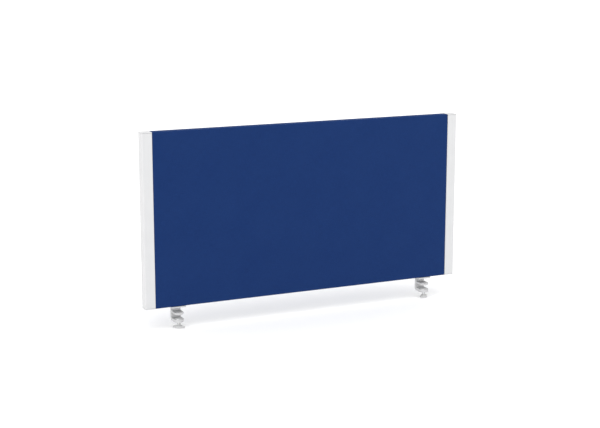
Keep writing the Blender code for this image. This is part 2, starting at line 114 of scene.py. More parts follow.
KNOB_TOP, KNOB_SHOULDER, KNOB_BOTTOM = -44.7 * MM, -49.4 * MM, -51 * MM
KNOB_NECK, KNOB_RADIUS, KNOB_FLOOR = 5.3 * MM, 9.2 * MM, 1.2 * MM
WING_REACH, WING_ROOT, WING_TIP, WING_TIP_RADIUS = 14.5 * MM, 3.2 * MM, 2.2 * MM, 2 * MM
WING_CREST, WING_TIP_TOP, WING_BOTTOM = -44.9 * MM, -47.8 * MM, -50.6 * MM
KNOB_TURNS = {"left": math.radians(47), "right": math.radians(-54)}  # of the wings, from Y
GRIP_RADIUS, GRIP_OFFSET, GRIP_LENGTH = 0.45 * MM, 0.12 * MM, 8 * MM
GRIP_REACHES = (10.3 * MM, 11.4 * MM, 12.5 * MM)


# Materials


class Shader:
    """A material whose Principled shader is fed by nodes.

    A value is a number, a colour or another node's output.
    """

    def __init__(self, name, roughness=0.5, **uniform):
        self.material = bpy.data.materials.new(name)
        self.material.use_nodes = True
        self.tree = self.material.node_tree
        self.surface = self.tree.nodes["Principled BSDF"]
        self.feed(self.surface, "Roughness", roughness)
        for socket, value in uniform.items():
            self.feed(self.surface, socket.replace("_", " "), value)
        self.place = self.add("TexCoord").outputs["Object"]

    def feed(self, node, socket, value):
        if isinstance(value, bpy.types.NodeSocket):
            self.tree.links.new(value, node.inputs[socket])
        elif isinstance(value, tuple) and len(value) == 3 and node.inputs[socket].type == "RGBA":
            node.inputs[socket].default_value = (*value, 1)
        else:
            node.inputs[socket].default_value = value

    def add(self, kind, inputs=(), **settings):
        node = self.tree.nodes.new("ShaderNode" + kind)
        for setting, value in settings.items():
            setattr(node, setting, value)
        for socket, value in dict(inputs).items():
            self.feed(node, socket, value)
        return node

    def math(self, operation, *values):
        return self.add("Math", dict(enumerate(values)), operation=operation).outputs[0]

    def stretched(self, place, scale):
        return self.add("Mapping", {"Vector": place, "Scale": scale}).outputs[0]

    def noise(self, size, detail=2.0, place=None, roughness=0.5):
        """Noise from 0 to 1 whose features are about size metres across."""
        inputs = {"Vector": place or self.place, "Scale": 1 / size, "Detail": detail, "Roughness": roughness}
        return self.add("TexNoise", inputs).outputs["Fac"]

    def cells(self, size, place=None):
        return self.add("TexVoronoi", {"Vector": place or self.place, "Scale": 1 / size}).outputs["Distance"]

    def ranged(self, value, low, high, to_low, to_high):
        inputs = {"Value": value, "From Min": low, "From Max": high, "To Min": to_low, "To Max": to_high}
        return self.add("MapRange", inputs).outputs[0]

    def mixed(self, share, a, b):
        node = self.add("Mix", data_type="RGBA")
        self.feed(node, 0, share)
        self.feed(node, 6, a)
        self.feed(node, 7, b)
        return node.outputs[2]

    def bumped(self, height, depth, under=None):
        """Relief of depth metres, over the relief under it."""
        inputs = {"Height": height, "Distance": depth, "Strength": 1.0}
        if under is not None:
            inputs["Normal"] = under
        return self.add("Bump", inputs).outputs[0]

    def edges(self, width):
        """1 along sharp edges, within width metres, and 0 on flat faces."""
        round_normal = self.add("Bevel", {"Radius": width}, samples=4).outputs[0]
        true_normal = self.add("NewGeometry").outputs["True Normal"]
        along = self.add("VectorMath", {0: round_normal, 1: true_normal}, operation="DOT_PRODUCT")
        return self.ranged(along.outputs["Value"], 0.985, 0.80, 0, 1)

    def made(self, colour, normal):
        self.feed(self.surface, "Base Color", colour)
        self.feed(self.surface, "Normal", normal)
        return self.material


def fabric_material():
    """Plain-woven polyester in several near blues, with painted shade in the gaps between threads. The cloth's
    own map carries its threads round it.
    """
    thread = 0.85 * MM
    s = Shader("woven_fabric", 0.92, Sheen_Weight=0.10, Sheen_Roughness=0.45,
               Sheen_Tint=(0.25, 0.45, 1.0), Specular_IOR_Level=0.10)
    cloth = s.add("UVMap", uv_map="cloth").outputs[0]
    wander = s.add("Mapping", {"Vector": cloth, "Scale": (1 / thread, 1 / thread, 1)}).outputs[0]
    parts = s.add("SeparateXYZ", {0: wander})
    u = s.math("ADD", parts.outputs[0], s.math("MULTIPLY", s.noise(9 * MM, 1, cloth), 0.6))
    v = s.math("ADD", parts.outputs[1], s.math("MULTIPLY", s.noise(11 * MM, 1, cloth), 0.6))
    column, row = s.math("FLOOR", u), s.math("FLOOR", v)

    def crown(across, along, turn):
        """A thread's height: round across its width, and rising and falling along its length."""
        width = s.math("SINE", s.math("MULTIPLY", s.math("FRACT", across), math.pi))
        wave = s.math("COSINE", s.math("MULTIPLY", s.math("ADD", along, turn), math.pi))
        return s.math("MULTIPLY", width, s.math("MULTIPLY_ADD", wave, 0.5, 0.5))

    warp = crown(u, v, column)
    weft = crown(v, u, s.math("ADD", row, 1))
    over = s.math("GREATER_THAN", warp, weft)
    height = s.math("MAXIMUM", warp, weft)
    warp_tone = s.noise(1.0, 2, s.stretched(cloth, (1 / thread, 0.06 / thread, 1)))
    weft_tone = s.noise(1.0, 2, s.stretched(cloth, (0.05 / thread, 1 / thread, 1)))
    tone = s.add("Mix", {0: over, 2: weft_tone, 3: warp_tone}).outputs[0]
    light = s.mixed(s.ranged(tone, 0.30, 0.70, 0, 1), (0.0050, 0.0217, 0.0945), (0.0100, 0.0367, 0.1475))
    # painted shade: the threads' colour darkens where they dip and in the gaps between them
    painted_gap_shade = s.mixed(s.ranged(height, 0.0, 0.75, 0.55, 0), light, (0.004, 0.013, 0.055))
    aged = s.mixed(s.ranged(s.noise(70 * MM, 3, cloth), 0.35, 0.65, 0, 0.10), painted_gap_shade, (0.0130, 0.0395, 0.135))
    fuzz = s.noise(0.16 * MM, 2, cloth)
    relief = s.bumped(fuzz, 0.05 * MM, s.bumped(height, 0.22 * MM))
    return s.made(aged, relief)


def powder_coat(name, colour, shade, roughness, peel, depth):
    """Baked powder paint: a fine orange peel, slightly uneven gloss, and rubbed edges."""
    s = Shader(name, roughness, Specular_IOR_Level=0.45)
    uneven = s.noise(26 * MM, 3)
    rubbed = s.math("MULTIPLY", s.edges(0.6 * MM), s.ranged(s.noise(5 * MM, 4), 0.40, 0.70, 0.1, 0.8))
    gloss = s.ranged(uneven, 0.3, 0.7, roughness - 0.05, roughness + 0.06)
    s.feed(s.surface, "Roughness", s.math("ADD", gloss, s.math("MULTIPLY", rubbed, -0.08)))
    even = s.mixed(s.ranged(uneven, 0.3, 0.7, 0, 1), colour, shade)
    worn = s.mixed(s.math("MULTIPLY", rubbed, 0.35), even, tuple(0.9 * c for c in shade))
    specks = s.ranged(s.noise(0.35 * MM, 1), 0.30, 0.45, 0.25, 0)
    grainy = s.mixed(specks, worn, tuple(0.93 * c for c in shade))
    relief = s.bumped(s.noise(peel, 2), depth, s.bumped(s.noise(9 * peel, 2), 1.6 * depth))
    return s.made(grainy, relief)


def moulded_plastic(name, colour, shade, roughness):
    """Spark-eroded plastic: a fine even grain with faint flow marks."""
    s = Shader(name, roughness, Specular_IOR_Level=0.5)
    flow = s.noise(14 * MM, 2, s.stretched(s.place, (1, 1, 0.3)))
    s.feed(s.surface, "Roughness", s.ranged(flow, 0.3, 0.7, roughness - 0.04, roughness + 0.05))
    rubbed = s.math("MULTIPLY", s.edges(0.5 * MM), s.ranged(s.noise(3 * MM, 4), 0.45, 0.7, 0, 0.6))
    tone = s.mixed(s.ranged(flow, 0.3, 0.7, 0, 1), colour, shade)
    worn = s.mixed(rubbed, tone, tuple(0.88 * c for c in shade))
    return s.made(worn, s.bumped(s.noise(0.30 * MM, 3), 0.022 * MM))


def steel_material():
    """Zinc-plated steel: a faint bluish bloom and fine turning marks round each piece's axis."""
    s = Shader("zinc_plated_steel", 0.36, Metallic=1.0)
    bloom = s.noise(3 * MM, 3)
    fine = s.noise(0.25 * MM, 2, s.stretched(s.place, (0.15, 0.15, 1)))
    s.feed(s.surface, "Roughness", s.ranged(fine, 0.3, 0.7, 0.34, 0.52))
    colour = s.mixed(s.ranged(bloom, 0.35, 0.65, 0, 1), (0.70, 0.71, 0.73), (0.77, 0.765, 0.745))
    dulled = s.mixed(s.ranged(s.noise(0.9 * MM, 4), 0.55, 0.75, 0, 0.35), colour, (0.42, 0.42, 0.43))
    return s.made(dulled, s.bumped(fine, 0.012 * MM))


def rubber_material():
    """Matt grey rubber with a dusty bloom."""
    s = Shader("grey_rubber", 0.78, Specular_IOR_Level=0.35)
    dust = s.noise(4 * MM, 4)
    colour = s.mixed(s.ranged(dust, 0.4, 0.68, 0, 1), (0.50, 0.50, 0.505), (0.58, 0.58, 0.575))
    s.feed(s.surface, "Roughness", s.ranged(dust, 0.3, 0.7, 0.70, 0.88))
    return s.made(colour, s.bumped(s.noise(0.22 * MM, 2), 0.03 * MM))


def foam_material():
    """Open-celled polyurethane foam, with painted shade in the pits of its cells."""
    s = Shader("cream_foam", 0.97, Specular_IOR_Level=0.15)
    cells = s.cells(0.9 * MM)
    # painted shade: the colour darkens towards each cell's pit, where the bump is lowest
    colour = s.mixed(s.ranged(cells, 0.1, 0.6, 0, 1), (0.42, 0.38, 0.27), (0.72, 0.68, 0.54))
    return s.made(colour, s.bumped(cells, 0.35 * MM))


def chipboard_material():
    """Chips of several browns, pressed flat."""
    s = Shader("chipboard", 0.85)
    chips = s.add("TexVoronoi", {"Vector": s.stretched(s.place, (1, 1, 2.2)), "Scale": 1 / (4 * MM)})
    tone = s.add("SeparateColor", {0: chips.outputs["Color"]}).outputs[0]
    colour = s.mixed(tone, (0.30, 0.19, 0.10), (0.60, 0.44, 0.27))
    dusty = s.mixed(s.ranged(s.noise(1.2 * MM, 4), 0.45, 0.7, 0, 0.6), colour, (0.66, 0.54, 0.38))
    return s.made(dusty, s.bumped(chips.outputs["Distance"], 0.15 * MM))


FABRIC = fabric_material()
TRIM_PAINT = powder_coat(
    "white_powder_coat", (0.545, 0.547, 0.553), (0.530, 0.532, 0.536), 0.42, 0.9 * MM, 0.020 * MM)
CAST_PAINT = powder_coat(
    "pale_grey_powder_coat", (0.475, 0.477, 0.480), (0.455, 0.456, 0.460), 0.46, 0.7 * MM, 0.035 * MM)
CAP_PLASTIC = moulded_plastic("white_plastic", (0.550, 0.552, 0.557), (0.530, 0.532, 0.536), 0.48)
KNOB_PLASTIC = moulded_plastic("pale_grey_plastic", (0.495, 0.497, 0.500), (0.470, 0.471, 0.475), 0.45)
STEEL = steel_material()
RUBBER = rubber_material()
FOAM = foam_material()
CHIPBOARD = chipboard_material()


# Meshes


def link(name, mesh):
    obj = bpy.data.objects.new(name, mesh)
    bpy.context.scene.collection.objects.link(obj)
    return obj


def mesh_of(name, points, faces):
    mesh = bpy.data.meshes.new(name)
    mesh.from_pydata([tuple(p) for p in points], [], faces)
    mesh.validate()
    return link(name, mesh)


def rounded(corners, steps=9):
    """An outline from (x, y, radius) corners, each turned into an arc of that radius."""
    outline = []
    for i, (x, y, radius) in enumerate(corners):
        if not radius:
            outline.append((x, y))
            continue
        corner = Vector((x, y))
        before = (Vector(corners[i - 1][:2]) - corner).normalized()
        after = (Vector(corners[(i + 1) % len(corners)][:2]) - corner).normalized()
        half = before.angle(after) / 2
        centre = corner + (before + after).normalized() * radius / math.sin(half)
        start = corner + before * radius / math.tan(half) - centre
        sweep = math.copysign(math.pi - 2 * half, -before.cross(after))
        for k in range(steps + 1):
            point = centre + Matrix.Rotation(sweep * k / steps, 2) @ start
            outline.append((point.x, point.y))
    return outline


def mirrored(corners):
    """Corners of one half, front to middle, and the same again from the middle to the back."""
    return corners + [(u, -v, radius) for u, v, radius in reversed(corners)]


def prism(name, outline, low, high, across="Z"):
    """An outline extruded from low to high along an axis. Across X, the outline is in Y and Z."""
    area = sum(a[0] * b[1] - b[0] * a[1] for a, b in zip(outline, outline[1:] + outline[:1]))
    if area < 0:
        outline = outline[::-1]
    count = len(outline)
    points = [(x, y, z) for z in (low, high) for x, y in outline]
    if across == "X":
        points = [(z, x, y) for x, y, z in points]
    faces = [(i, (i + 1) % count, count + (i + 1) % count, count + i) for i in range(count)]
    faces += [tuple(reversed(range(count))), tuple(range(count, 2 * count))]
    return mesh_of(name, points, faces)


def turned(name, profile, steps, closed=False):
    """A profile of (radius, height) turned about Z, from the top down the outer side."""
    points, rings, faces = [], [], []
    for radius, height in profile:
        around = 1 if radius == 0 else steps
        rings.append(range(len(points), len(points) + around))
        for k in range(around):
            angle = 2 * math.pi * k / steps
            points.append((radius * math.cos(angle), radius * math.sin(angle), height))
    pairs = list(zip(rings, rings[1:])) + ([(rings[-1], rings[0])] if closed else [])
    for upper, lower in pairs:
        for k in range(steps):
            ring = [upper[k % len(upper)], lower[k % len(lower)],
                    lower[(k + 1) % len(lower)], upper[(k + 1) % len(upper)]]
            faces.append(tuple(dict.fromkeys(ring)))
    return mesh_of(name, points, faces)


def boolean(obj, tool, operation="DIFFERENCE"):
    modifier = obj.modifiers.new(tool.name, "BOOLEAN")
    modifier.operation = operation
    modifier.solver = "EXACT"
    modifier.object = tool


def bevel(obj, width, segments=3):
    modifier = obj.modifiers.new("bevel", "BEVEL")
    modifier.width = width
    modifier.segments = segments
    modifier.limit_method = "ANGLE"
    modifier.angle_limit = SHARP
    modifier.use_clamp_overlap = True


def applied(obj):
    """Makes the modifiers' result the object's own mesh, and removes the cutters they used."""
    tools = [m.object for m in obj.modifiers if m.type == "BOOLEAN"]
    bpy.context.view_layer.update()
    mesh = bpy.data.meshes.new_from_object(obj.evaluated_get(bpy.context.evaluated_depsgraph_get()))
    obj.modifiers.clear()
    obj.data = mesh
    for tool in tools:
        bpy.data.objects.remove(tool)
    return obj


def tidied(obj):
    bm = bmesh.new()
    bm.from_mesh(obj.data)
    bmesh.ops.remove_doubles(bm, verts=bm.verts, dist=0.002 * MM)
    bmesh.ops.dissolve_degenerate(bm, edges=bm.edges, dist=0.002 * MM)
    bmesh.ops.recalc_face_normals(bm, faces=bm.faces)
    bm.to_mesh(obj.data)
    bm.free()
    return obj


def piece(obj, body, material, slot, *nodes, sharp=SHARP):
    """Finishes a made piece: smooth shading, its material, its body and the CAD nodes it replaces."""
    applied(obj)
    tidied(obj)
    obj.data.shade_smooth()
    obj.data.set_sharp_from_angle(angle=sharp)
    obj.data.materials.clear()
    obj.data.materials.append(material)
    weighted = obj.modifiers.new("weighted", "WEIGHTED_NORMAL")
    weighted.keep_sharp = True
    applied(obj)
    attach(obj, body)
    if nodes:
        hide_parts(*nodes)
    return obj


def moved(obj, place, turn=0.0):
    obj.data.transform(Matrix.Translation(place) @ Matrix.Rotation(turn, 4, "Z"))
    return obj


# Cover


def spread(count, clustering=0.55):
    """Fractions from 0 to 1, closer together near both ends."""
    steps = [k / count for k in range(count + 1)]
    return [t - clustering * math.sin(2 * math.pi * t) / (2 * math.pi) for t in steps]


def ring(inset):
    """(y, z, name of its stretch) round the board, from the seam under it up the front and down the back."""
    half = HALF_DEPTH - COVER_INSET - inset
    low = SCREEN_BASE + COVER_INSET + inset
    high = SCREEN_TOP - COVER_INSET - inset
    r = max(COVER_CORNER - inset, 0.4 * MM)
    flat = half - r
    under = (0, 0.06, 0.13, 0.4, 0.7)
    side = spread(COVER_ROWS)[1:-1]
    top = spread(8, 0.3)[1:-1]
    out = [(-flat * t, low, "under") for t in under]

    def arc(y, z, start):
        for k in range(ARC_ROWS + 1):
            angle = start - math.pi / 2 * k / ARC_ROWS
            out.append((y + r * math.cos(angle), z + r * math.sin(angle), "corner"))

    arc(-flat, low + r, -math.pi / 2)
    out.extend((-half, low + r + (high - low - 2 * r) * t, "front") for t in side)
    arc(-flat, high - r, math.pi)
    out.extend((flat * (2 * t - 1), high, "top") for t in top)
    arc(flat, high - r, math.pi / 2)
    out.extend((half, high - r - (high - low - 2 * r) * t, "back") for t in side)
    arc(flat, low + r, 0)
    out.extend((flat * t, low, "under") for t in reversed(under[1:]))
    return out


def make_cover():
    end = BOARD_HIGH.x - 0.1 * MM
    stations = [(end, COVER_ROLL + COVER_HEM * t) for t in (1, 0.6, 0.25)]
    stations += [(end - COVER_ROLL * (1 - math.sin(a)), COVER_ROLL * (1 - math.cos(a)))
                 for a in (math.pi / 2, math.pi / 3, math.pi / 6)]
    inner = end - COVER_ROLL
    middle = [(inner - 2 * inner * t, 0.0) for t in spread(COVER_COLUMNS)]
    stations = stations + middle + [(-x, inset) for x, inset in reversed(stations)]
    points, kinds, cloth, faces = [], [], [], []
    lengthwise = 0.0
    for i, (x, inset) in enumerate(stations):
        if i:
            lengthwise += math.dist(stations[i - 1], (x, inset))
        around, place = 0.0, ring(inset)
        widest = ring(0)
        for j, (y, z, kind) in enumerate(place):
            if j:
                around += math.dist(widest[j - 1][:2], widest[j][:2])
            points.append(Vector((x, y, z)))
            kinds.append("end" if abs(x) > inner + 0.01 * MM else kind)
            cloth.append((lengthwise, around))
    count = len(place)
    seam = around + math.dist(widest[-1][:2], widest[0][:2])
    for i in range(len(stations) - 1):
        for j in range(count):
            k = (j + 1) % count
            faces.append((i * count + j, i * count + k, (i + 1) * count + k, (i + 1) * count + j))
    obj = mesh_of("cover_fabric", points, faces)
    uv = obj.data.uv_layers.new(name="cloth")
    for polygon in obj.data.polygons:
        wraps = {v % count for v in polygon.vertices} >= {0, count - 1}
        for loop in polygon.loop_indices:
            v = obj.data.loops[loop].vertex_index
            u, w = cloth[v]
            uv.data[loop].uv = (u, seam if wraps and v % count == 0 else w)
    swell(obj, points, kinds)
    shape_cover(obj, kinds)
    solid = obj.modifiers.new("cloth", "SOLIDIFY")
    solid.thickness = COVER_CLOTH
    solid.offset = -1
    obj.modifiers.new("flat_faces", "TRIANGULATE")  # a hole cut through a bent four-sided face folds it
    for word, _ in SIDES:
        for x in (-FOOT_SCREW_X, FOOT_SCREW_X):
            hole = turned("hole", [(0, 6 * MM), (FOOT_SCREW_RADIUS + 0.15 * MM, 6 * MM),
                                   (FOOT_SCREW_RADIUS + 0.15 * MM, -6 * MM), (0, -6 * MM)], 24)
            moved(hole, (CLAMP_X[word] + x, CLAMP_Y + FOOT_SCREW_Y, SCREEN_BASE))
            boolean(obj, hole)
    piece(obj, "screen", FABRIC, "fabric", "fabric_cover", sharp=math.pi)
    print(f"cover: cut {lengthwise * 1000:.0f} x {seam * 1000:.0f} mm")
    return obj


def swell(obj, rest, kinds):
    """Simulates the sleeve pulled tight over its foam: held at its ends, its corners and under the board, and
    pressed out between.
    """
    held = obj.vertex_groups.new(name="held")
    held.add([i for i, kind in enumerate(kinds) if kind in ("end", "corner", "under")], 1.0, "REPLACE")
    cloth = obj.modifiers.new("tension", "CLOTH")
    cloth.settings.quality = 5
    cloth.settings.mass = 0.3
    cloth.settings.tension_stiffness = 25
    cloth.settings.compression_stiffness = 25
    cloth.settings.shear_stiffness = 12
    cloth.settings.bending_stiffness = 1.5
    cloth.settings.use_pressure = True
    cloth.settings.uniform_pressure_force = SIM_PRESSURE
    cloth.settings.effector_weights.gravity = 0
    cloth.settings.vertex_group_mass = held.name
    cloth.point_cache.frame_start, cloth.point_cache.frame_end = 1, SIM_FRAMES
    scene = bpy.context.scene
    for number in range(1, SIM_FRAMES + 1):
        scene.frame_set(number)
    evaluated = obj.evaluated_get(bpy.context.evaluated_depsgraph_get())
    places = [v.co.copy() for v in evaluated.data.vertices]
    obj.modifiers.clear()
    scene.frame_set(1)
    reach = max((place - start).length for place, start in zip(places, rest))
    if reach > COVER_SWELL_LIMIT:
        raise RuntimeError(f"the cover's cloth moved {reach * 1000:.2f} mm")
    for vertex, place in zip(obj.data.vertices, places):
        vertex.co = place
    obj.vertex_groups.clear()
    print(f"cover: the cloth moved up to {reach * 1000:.2f} mm")


def shape_cover(obj, kinds):
    """The sewn seam under the board, and the foam's slight unevenness."""
    outward = {"front": Vector((0, -1, 0)), "back": Vector((0, 1, 0)), "top": Vector((0, 0, 1))}
    for vertex, kind in zip(obj.data.vertices, kinds):
        if kind in outward:
            uneven = noise.noise(vertex.co * 14) * 0.05 + noise.noise(vertex.co * 45) * 0.02
            vertex.co += outward[kind] * uneven * MM
        elif kind == "under":
            away = abs(vertex.co.y)
            pucker = 1 + 0.25 * noise.noise(Vector((vertex.co.x * 320, 0, 0)))
            vertex.co.z += SEAM_DEPTH * pucker * math.exp(-(away / SEAM_WIDTH) ** 2)


def make_foam():
    for name, node, side in (("foam_pad_front", "foam_front", -1), ("foam_pad_back", "foam_back", 1)):
        low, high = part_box(node)
        width, height, edge = (high.x - low.x) / 2, (high.z - low.z) / 2, 2 * MM
        outline = rounded([(-width, -height, edge), (width, -height, edge),
                           (width, height, edge), (-width, height, edge)])
        inner = min(abs(low.y), abs(high.y))
        pad = prism(name, outline, 0, FOAM_THICKNESS)
        pad.data.transform(Matrix.Translation((0, side * inner, (low.z + high.z) / 2))
                           @ Matrix.Rotation(-side * math.pi / 2, 4, "X"))
        bevel(pad, 1.1 * MM, 4)
        piece(pad, "screen", FOAM, "foam", node)


# Trims: u runs outwards from the board's end, v from front to back


def on_side(side, corners):
    return rounded([(side * (TRIM_INNER + u), v, radius) for u, v, radius in corners])


def make_trims():
    for word, side in SIDES:
        half, inner = HALF_DEPTH, TRIM_RADIUS / 2
        slot, wall, width = SLOT_WIDTH / 2, TRIM_WALL, TRIM_WIDTH
        channel = mirrored([(0, -half, TRIM_RADIUS / 3), (width, -half, TRIM_RADIUS),
                            (width, -slot, 0), (width - wall, -slot, 0),
                            (width - wall, wall - half, inner), (wall, wall - half, inner)])
        trim = prism(f"{word}_trim_extrusion", on_side(side, channel), TRIM_BOTTOM, TRIM_TOP)
        for height in screw_heights(word):
            reach = TRIM_WALL + 2 * GAP
            hole = turned("hole", [(0, reach), (TRIM_SCREW_RADIUS + GAP, reach),
                                   (TRIM_SCREW_RADIUS + GAP, -reach), (0, -reach)], 24)
            hole.data.transform(Matrix.Translation((side * TRIM_INNER, 0, height))
                                @ Matrix.Rotation(math.pi / 2, 4, "Y"))
            boolean(trim, hole)
        bevel(trim, 0.2 * MM, 2)
        piece(trim, "screen", TRIM_PAINT, "trim", f"{word}_trim")

        face, barb = SLOT_WIDTH / 2 - GAP, width - TRIM_WALL - GAP
        leg = barb - STRIP_REACH
        snap = mirrored([(width, -face, 0), (barb, -face, 0), (barb, -face - STRIP_BARB, 0), (leg, -face, 0),
                         (leg, STRIP_LEG - face, 0), (width - TRIM_WALL, STRIP_LEG - face, 0)])
        strip = prism(f"{word}_trim_insert", on_side(side, snap), TRIM_BOTTOM, TRIM_TOP)
        bevel(strip, 0.2 * MM, 2)
        piece(strip, "screen", TRIM_PAINT, "trim", f"{word}_trim_strip")

        plate = [(0, -half, TRIM_RADIUS / 3), (width, -half, TRIM_RADIUS), (width, half, TRIM_RADIUS),
                 (0, half, TRIM_RADIUS / 3)]
        start, end, deep = TRIM_WALL + GAP, width - TRIM_WALL - 3 * GAP - STRIP_REACH, half - TRIM_WALL - GAP
        plug = [(start, -deep, TRIM_RADIUS), (end, -deep, TRIM_RADIUS),
                (end, deep, TRIM_RADIUS), (start, deep, TRIM_RADIUS)]
        for where, up in (("top", 1), ("bottom", -1)):
            outer = SCREEN_TOP if up > 0 else SCREEN_BASE
            inside = outer - up * CAP_THICKNESS
            cap = prism(f"{word}_end_cap_{where}", on_side(side, plate), *sorted((outer, inside)))
            bevel(cap, 0.45 * MM, 3)
            body = prism("plug", on_side(side, plug),
                         *sorted((outer - up * CAP_THICKNESS / 2, inside - up * CAP_PLUG_LENGTH)))
            boolean(cap, body, "UNION")
            piece(cap, "screen", CAP_PLASTIC, "plastic", f"{word}_trim_cap_{where}")


def screw_heights(word):
    for number in (1, 2, 3):
        low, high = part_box(f"{word}_trim_screw_{number}")
        yield (low.z + high.z) / 2


# Screws and threads


def threaded(name, radius, depth, pitch, low, high, steps=36, taper=0.0):
    """A threaded bar about Z, closed at both ends, that tapers over the last taper metres above low."""
    rows = max(2, math.ceil((high - low) / pitch * 10))
    points, faces = [], []
    for i in range(rows + 1):
        z = low + (high - low) * i / rows
        fade = min(1.0, (high - z) / pitch, (z - low) / pitch)
        point = 1.0 if taper == 0 or z - low > taper else max(0.12, (z - low) / taper)
        for k in range(steps):
            angle = 2 * math.pi * k / steps
            phase = (z / pitch - k / steps) % 1.0
            tooth = abs(2 * phase - 1)
            r = (radius - depth * min(1.0, 1.25 * tooth) * max(0.0, fade)) * point
            points.append((r * math.cos(angle), r * math.sin(angle), z))
    for i in range(rows):
        for k in range(steps):
            n = (k + 1) % steps
            faces.append((i * steps + k, i * steps + n, (i + 1) * steps + n, (i + 1) * steps + k))
    faces.append(tuple(reversed(range(steps))))
    faces.append(tuple(range(rows * steps, (rows + 1) * steps)))
    return mesh_of(name, points, faces)


def cross_recess(size, depth, top):
    """A cross that narrows as it goes down from top."""
    arms = []
    for turn in (0, math.pi / 2):
        w, l = 0.17 * size, size / 2
        points = [(x * s, y * s, z) for z, s in ((top + 0.2 * MM, 1.12), (top - depth, 0.55))
                  for x, y in ((-l, -w), (l, -w), (l, w), (-l, w))]
        sides = [(k, (k + 1) % 4, 4 + (k + 1) % 4, 4 + k) for k in range(4)]
        arm = mesh_of("arm", points, [(3, 2, 1, 0), (4, 5, 6, 7), *sides])
        tidied(arm)
        moved(arm, (0, 0, 0), turn + math.pi / 4)
        arms.append(arm)
    boolean(arms[0], arms[1], "UNION")
    return applied(arms[0])


def wood_screw(name, head, radius, length, recess):
    """A screw about Z with its point down at -length. head is its profile, down to the shank."""
    body = turned(name, head + [(radius * 0.72, -2 * MM), (0, -2 * MM)], 40)
    thread = threaded("thread", radius, radius * 0.30, WOOD_THREAD_PITCH, -length, -0.6 * MM, 24, 2.2 * radius)
    boolean(body, thread, "UNION")
    boolean(body, recess)
    return body


def make_screws():
    for word, side in SIDES:
        for number, height in enumerate(screw_heights(word), 1):
            top = TRIM_SCREW_HEAD_HEIGHT
            head = [(0, top), (TRIM_SCREW_HEAD * 0.62, top), (TRIM_SCREW_HEAD * 0.84, top * 0.86),
                    (TRIM_SCREW_HEAD * 0.96, top * 0.58), (TRIM_SCREW_HEAD, top * 0.25), (TRIM_SCREW_HEAD, 0),
                    (TRIM_SCREW_RADIUS, 0)]
            screw = wood_screw(f"{word}_panel_screw_{number}", head, TRIM_SCREW_RADIUS,
                               TRIM_SCREW_LENGTH - GAP, cross_recess(*TRIM_SCREW_CROSS, top))
            applied(screw)
            place = Vector((side * (TRIM_INNER + TRIM_WALL + GAP), 0, height))
            screw.data.transform(Matrix.Translation(place) @ Matrix.Rotation(side * math.pi / 2, 4, "Y"))
            piece(screw, "screen", STEEL, "steel", f"{word}_trim_screw_{number}")
        for number, x in ((1, -FOOT_SCREW_X), (2, FOOT_SCREW_X)):
            drop = FOOT_SCREW_HEAD_HEIGHT
            head = [(0, 0), (FOOT_SCREW_HEAD - 0.1 * MM, 0), (FOOT_SCREW_HEAD, -0.1 * MM),
                    (FOOT_SCREW_RADIUS, -drop)]
            screw = wood_screw(f"{word}_base_screw_{number}", head, FOOT_SCREW_RADIUS,
                               FOOT_SCREW_LENGTH - GAP, cross_recess(*FOOT_SCREW_CROSS, 0))
            applied(screw)
            place = Vector((CLAMP_X[word] + x, CLAMP_Y + FOOT_SCREW_Y, SCREEN_BASE - FOOT_THICKNESS))
            screw.data.transform(Matrix.Translation(place) @ Matrix.Rotation(math.pi, 4, "X"))
            piece(screw, "screen", STEEL, "steel", f"{word}_foot_screw_{number}")


# Clamps


def half_round(radius, back, corner, steps=48):
    front = [(-radius * math.cos(math.pi * k / steps), -radius * math.sin(math.pi * k / steps), 0)
             for k in range(steps + 1)]
    return rounded(front + [(radius, back, corner), (-radius, back, corner)])


